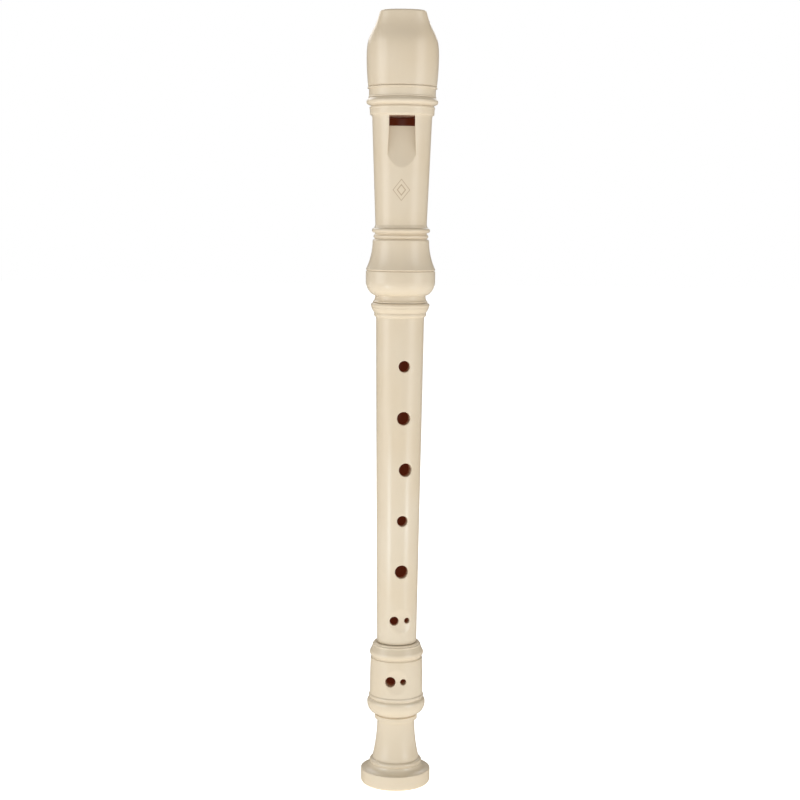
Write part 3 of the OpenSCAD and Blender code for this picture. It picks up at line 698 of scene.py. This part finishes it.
def makeBeak():
    k = beak
    r = k["full"]
    band = softened(outline(
        [k["socket"] + 0.3, seam], [r - 1.35, seam], [r - 0.9, seam + 0.12], [r - 0.9, seam + 0.55],
        [r - 1.12, seam + 0.68], [r - 1.1, seam + 3.7], [r - 0.48, seam + 3.87], [r - 0.46, seam + 4.28],
        [r - 1.15, seam + 4.42], [r - 1.15, seam + 4.62], [r - 0.78, seam + 4.72]), 0.08)
    angle = np.arange(turns) * 2 * math.pi / turns
    rows = [around(np.full(turns, p[0]), angle, p[1]) for p in band]
    start, stop = seam + 4.8, tip - k["edge"]
    rows += [beakSection(z, 0) for z in np.linspace(start, stop, 96)]
    for f in np.linspace(0, 90, 8)[1:]:
        s, c = math.sin(math.radians(f)), math.cos(math.radians(f))
        rows.append(beakSection(stop + k["edge"] * s, k["edge"] * (1 - c)))
    mouth = rectangleLoop(k["mouthHalf"] + 0.15, k["mouthFront"] + 0.15, k["tongueBack"] - 0.05,
                          rows[-1], tip)
    for e in (0.5, 1.0):
        rows.append(rows[-1] * (1 - e) + mouth * e)
    rows.append(rectangleLoop(k["mouthHalf"], k["mouthFront"], k["tongueBack"], mouth, tip - 0.15))
    throat = seam + head["spigotLength"]
    for e in (0.5, 1.0):
        front = k["mouthFront"] + (k["throatFront"] - k["mouthFront"]) * e
        rows.append(rectangleLoop(k["mouthHalf"], front, k["tongueBack"], mouth, tip + (throat - tip) * e))
    rows += [around(np.full(turns, q), angle, z) for q, z in
             ((k["socket"] - 0.1, throat), (k["socket"], throat - 0.1), (k["socket"], seam + 0.3),
              (k["socket"] + 0.2, seam + 0.05))]
    hidden = 7                                      # rows from the mouth's edge down to the socket
    # painted shade inside the beak: slight at the mouth's inner edge, more down the throat and the socket
    paintedShade = np.r_[np.zeros((len(rows) - hidden) * turns), np.full(hidden * turns, 0.6)]
    paintedShade[-hidden * turns:(1 - hidden) * turns] = 0.1
    return makeMesh("beakCap", np.vstack(rows), gridQuads(len(rows), turns), paintedShade, 40)


# the third, fourth and fifth colours are painted shade and a painted glow for the holes and the bore, whose
# plastic is as ivory as the rest
plastic = dict(ivory=(0.725, 0.622, 0.473), warm=(0.70, 0.58, 0.415), paintedShadeBrown=(0.36, 0.17, 0.085),
               deep=(0.13, 0.028, 0.011), through=(0.05, 0.0095, 0.0035), rough=(0.24, 0.38), coat=0.7,
               coatRough=0.28, ior=1.53, cloudScale=28, polishScale=160, grainScale=900, grain=0.06)


def ramp(tree, value, low, high):
    # 0 below low and 1 above high, eased between them
    n = tree.nodes.new("ShaderNodeMapRange")
    n.interpolation_type = "SMOOTHSTEP"
    tree.links.new(value, n.inputs["Value"])
    n.inputs["From Min"].default_value, n.inputs["From Max"].default_value = low, high
    return n.outputs["Result"]


def maths(tree, operation, a, b=None):
    n = tree.nodes.new("ShaderNodeMath")
    n.operation = operation
    for socket, v in zip(n.inputs, (a, b)):
        if v is None:
            continue
        if isinstance(v, (int, float)):
            socket.default_value = v
        else:
            tree.links.new(v, socket)
    return n.outputs[0]


def noise(tree, vector, scale, detail=3.0, roughness=0.5):
    n = tree.nodes.new("ShaderNodeTexNoise")
    n.inputs["Scale"].default_value = scale
    n.inputs["Detail"].default_value = detail
    n.inputs["Roughness"].default_value = roughness
    tree.links.new(vector, n.inputs["Vector"])
    return n.outputs["Fac"]


def blendColour(tree, factor, a, b):
    # a where the factor is 0 and b where it is 1; a Mix node's colours are its inputs 6 and 7, and output 2
    n = tree.nodes.new("ShaderNodeMix")
    n.data_type = "RGBA"
    tree.links.new(factor, n.inputs[0])
    for socket, v in ((n.inputs[6], a), (n.inputs[7], b)):
        if isinstance(v, tuple):
            socket.default_value = (*v, 1)
        else:
            tree.links.new(v, socket)
    return n.outputs[2]


# half width, half height, drop below the seam, and where each line starts and how wide it is, as shares
# the lines' colour is painted shade: it stands in for the shade in the grooves of an engraved mark, which the
# mesh does not have
mark = dict(half=3.7, rise=4.7, drop=38.1, lines=((0.86, 0.09), (0.36, 0.14)), edge=0.05, strength=0.75,
            colour=(0.42, 0.29, 0.17))


def lozenge(tree, place, height):
    # two plain lozenges, one in the other, on the front: q = |x| / half + |z - height| / rise grows from
    # their middle outwards, and the result is 1 where q lies in one of the lines
    way = tree.nodes.new("ShaderNodeSeparateXYZ")
    tree.links.new(place, way.inputs[0])
    across = maths(tree, "DIVIDE", maths(tree, "ABSOLUTE", way.outputs[0]), mark["half"] * mm)
    up = maths(tree, "ABSOLUTE", maths(tree, "SUBTRACT", way.outputs[2], height * mm))
    far = maths(tree, "ADD", across, maths(tree, "DIVIDE", up, mark["rise"] * mm))
    edge = mark["edge"]
    lines = [maths(tree, "SUBTRACT", ramp(tree, far, f, f + edge), ramp(tree, far, f + w, f + w + edge))
             for f, w in mark["lines"]]
    front = maths(tree, "LESS_THAN", way.outputs[1], 0.0)
    return maths(tree, "MULTIPLY", maths(tree, "ADD", *lines), front)


def ivoryPlastic(name, seed, markHeight=None):
    # Satin moulded plastic with a faint cloudiness. Where the mesh's shade attribute rises, on the walls of
    # the holes and the bore, painted shade darkens the colour to a dark reddish tone, and a faint dark-red
    # painted glow is added there.
    m = bpy.data.materials.new(name)
    m.use_nodes = True
    tree = m.node_tree
    shader = tree.nodes["Principled BSDF"]
    place = tree.nodes.new("ShaderNodeTexCoord").outputs["Object"]
    shift = tree.nodes.new("ShaderNodeMapping")
    shift.inputs["Location"].default_value = (seed, seed * 0.7, seed * 1.3)
    tree.links.new(place, shift.inputs["Vector"])
    cloud = noise(tree, shift.outputs["Vector"], plastic["cloudScale"], 3)
    tone = blendColour(tree, ramp(tree, cloud, 0.3, 0.75), plastic["ivory"], plastic["warm"])
    attribute = tree.nodes.new("ShaderNodeAttribute")
    attribute.attribute_name = "paintedShade"
    paintedShade = attribute.outputs["Fac"]
    # painted shade: the colour darkens in two steps where the shade attribute rises
    tone = blendColour(tree, ramp(tree, paintedShade, 0.02, 0.5), tone, plastic["paintedShadeBrown"])
    tone = blendColour(tree, ramp(tree, paintedShade, 0.4, 0.95), tone, plastic["deep"])
    # painted shade for the engraved mark's grooves
    if markHeight is not None:
        line = lozenge(tree, place, markHeight)
        tone = blendColour(tree, maths(tree, "MULTIPLY", line, mark["strength"]), tone, mark["colour"])
    tree.links.new(tone, shader.inputs["Base Color"])
    # painted glow: a faint dark-red emission where the shade attribute rises; the plastic gives off no light
    # of its own
    shader.inputs["Emission Color"].default_value = (*plastic["through"], 1)
    tree.links.new(ramp(tree, paintedShade, 0.05, 0.8), shader.inputs["Emission Strength"])
    polish = tree.nodes.new("ShaderNodeMapRange")
    tree.links.new(noise(tree, shift.outputs["Vector"], plastic["polishScale"], 4, 0.6),
                   polish.inputs["Value"])
    polish.inputs["To Min"].default_value, polish.inputs["To Max"].default_value = plastic["rough"]
    tree.links.new(polish.outputs["Result"], shader.inputs["Roughness"])
    bump = tree.nodes.new("ShaderNodeBump")
    bump.inputs["Strength"].default_value = plastic["grain"]
    bump.inputs["Distance"].default_value = 0.00005
    tree.links.new(noise(tree, shift.outputs["Vector"], plastic["grainScale"], 4, 0.6), bump.inputs["Height"])
    tree.links.new(bump.outputs["Normal"], shader.inputs["Normal"])
    shader.inputs["IOR"].default_value = plastic["ior"]
    shader.inputs["Coat Weight"].default_value = plastic["coat"]
    shader.inputs["Coat Roughness"].default_value = plastic["coatRough"]
    return m


def dress(piece, material, body, nodes):
    piece.data.materials.clear()
    piece.data.materials.append(material)
    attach(piece, body)
    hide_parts(*nodes)
    print("dressed", piece.name)


dress(makeFoot(), ivoryPlastic("ivoryFoot", 1.1), "foot", ["foot_joint"])
dress(makeMiddle(), ivoryPlastic("ivoryMiddle", 2.3), "middle", ["middle_joint"])
dress(makeHead(), ivoryPlastic("ivoryHead", 3.7, seam - mark["drop"]), "head", ["head_barrel"])
dress(makeBeak(), ivoryPlastic("ivoryBeak", 4.9), "head", ["beak_cap"])
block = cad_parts["windway_block"]
block.data.materials.clear()
block.data.materials.append(ivoryPlastic("ivoryBlock", 6.1))
print("dressed the windway block")

studio = dict(floorHalf=6.0, floorGlow=0.95, mirrored=0.55, seen=1.0, front=0.57, behind=0.25, above=0.82,
              shade=(1.04, 0.94, 0.78), wall=0.8, table=0.93)
# for each light: its place, what it faces, its width and height, its power in watts and its tint
lamps = dict(leftBox=((-0.82, -0.3, 0.24), (0, 0, 0.14), (0.5, 1.0), 2.3, (1, 1, 1)),
             rightBox=((0.7, -0.42, 0.24), (0, 0, 0.14), (0.4, 1.0), 1.6, (1, 1, 1)),
             backBox=((-0.15, 0.75, 0.7), (0, 0, 0.05), (1.2, 0.5), 3.0, (1, 1, 1)),
             leftLow=((-0.175, -0.16, 0.07), (0, 0, 0.03), (0.05, 0.07), 0.06, (0.8, 0.92, 1.0)),
             rightLow=((0.175, -0.16, 0.07), (0, 0, 0.03), (0.05, 0.07), 0.05, (0.8, 0.92, 1.0)))
# lens in millimetres, places in metres, and the pitch downwards and the lean in degrees
shot = dict(lens=73.0, distance=0.6855, height=0.2399, pitch=6.09, lean=0.62, aside=0.00036, farEnd=50)


def makeFloor():
    # a pale lit table: it scatters light and gives some of its own, so that it is white under the recorder
    s = studio["floorHalf"]
    mesh = bpy.data.meshes.new("floor")
    mesh.from_pydata([(-s, -s, 0), (s, -s, 0), (s, s, 0), (-s, s, 0)], [], [(0, 1, 2, 3)])
    floor = bpy.data.objects.new("floor", mesh)
    bpy.context.scene.collection.objects.link(floor)
    m = bpy.data.materials.new("paleFloor")
    m.use_nodes = True
    shader = m.node_tree.nodes["Principled BSDF"]
    shader.inputs["Base Color"].default_value = (*[studio["table"]] * 3, 1)
    shader.inputs["Roughness"].default_value = 0.9
    shader.inputs["Specular IOR Level"].default_value = 0.0
    shader.inputs["Emission Color"].default_value = (1, 1, 1, 1)
    shader.inputs["Emission Strength"].default_value = studio["floorGlow"]
    tree = m.node_tree
    dim = tree.nodes.new("ShaderNodeBsdfDiffuse")     # what the gloss of the recorder mirrors
    dim.inputs["Color"].default_value = (*[studio["mirrored"] * share for share in studio["shade"]], 1)
    mix = tree.nodes.new("ShaderNodeMixShader")
    tree.links.new(tree.nodes.new("ShaderNodeLightPath").outputs["Is Glossy Ray"], mix.inputs[0])
    tree.links.new(shader.outputs[0], mix.inputs[1])
    tree.links.new(dim.outputs[0], mix.inputs[2])
    tree.links.new(mix.outputs[0], tree.nodes["Material Output"].inputs["Surface"])
    mesh.materials.append(m)


def makeWorld():
    # the studio's walls: white as the camera sees them; as a light, brighter at the camera's side than
    # behind the recorder, where they are a warm grey, and dimmer high up
    world = bpy.data.worlds.new("studioWorld")
    world.use_nodes = True
    tree = world.node_tree
    seen = tree.nodes["Background"]
    seen.inputs["Color"].default_value = (1, 1, 1, 1)
    seen.inputs["Strength"].default_value = studio["seen"]
    light = tree.nodes.new("ShaderNodeBackground")
    way = tree.nodes.new("ShaderNodeSeparateXYZ")
    tree.links.new(tree.nodes.new("ShaderNodeTexCoord").outputs["Generated"], way.inputs[0])
    front = ramp(tree, maths(tree, "MULTIPLY", way.outputs[1], -1.0), -0.5, 0.6)
    warm = tuple(studio["wall"] * share for share in studio["shade"])
    tree.links.new(blendColour(tree, front, warm, (studio["wall"],) * 3), light.inputs["Color"])
    level = maths(tree, "MULTIPLY_ADD", front, studio["front"] - studio["behind"])
    level.node.inputs[2].default_value = studio["behind"]
    high = maths(tree, "MULTIPLY_ADD", ramp(tree, way.outputs[2], 0.1, 0.9), studio["above"] - 1.0)
    high.node.inputs[2].default_value = 1.0
    tree.links.new(maths(tree, "MULTIPLY", level, high), light.inputs["Strength"])
    mix = tree.nodes.new("ShaderNodeMixShader")
    tree.links.new(tree.nodes.new("ShaderNodeLightPath").outputs["Is Camera Ray"], mix.inputs[0])
    tree.links.new(light.outputs[0], mix.inputs[1])
    tree.links.new(seen.outputs[0], mix.inputs[2])
    tree.links.new(mix.outputs[0], tree.nodes["World Output"].inputs["Surface"])
    bpy.context.scene.world = world


def makeLight(name, place, aim, size, power, tint):
    data = bpy.data.lights.new(name, "AREA")
    data.shape, data.size, data.size_y = "RECTANGLE", size[0], size[1]
    data.energy, data.color = power, tint
    light = bpy.data.objects.new(name, data)
    light.location = place
    light.rotation_euler = (Vector(aim) - Vector(place)).to_track_quat("-Z", "Y").to_euler()
    bpy.context.scene.collection.objects.link(light)


def makeCamera():
    data = bpy.data.cameras.new("camera")
    data.lens = shot["lens"]
    data.clip_end = shot["farEnd"]
    camera = bpy.data.objects.new("camera", data)
    bpy.context.scene.collection.objects.link(camera)
    pitch, lean = math.radians(90 - shot["pitch"]), math.radians(shot["lean"])
    turn = Matrix.Rotation(pitch, 4, "X") @ Matrix.Rotation(lean, 4, "Z")
    camera.matrix_world = Matrix.Translation((shot["aside"], -shot["distance"], shot["height"])) @ turn
    bpy.context.scene.camera = camera


makeFloor()
makeWorld()
for name, lamp in lamps.items():
    makeLight(name, *lamp)
bpy.context.scene.view_settings.view_transform = "Standard"
makeCamera()
print("studio ready")
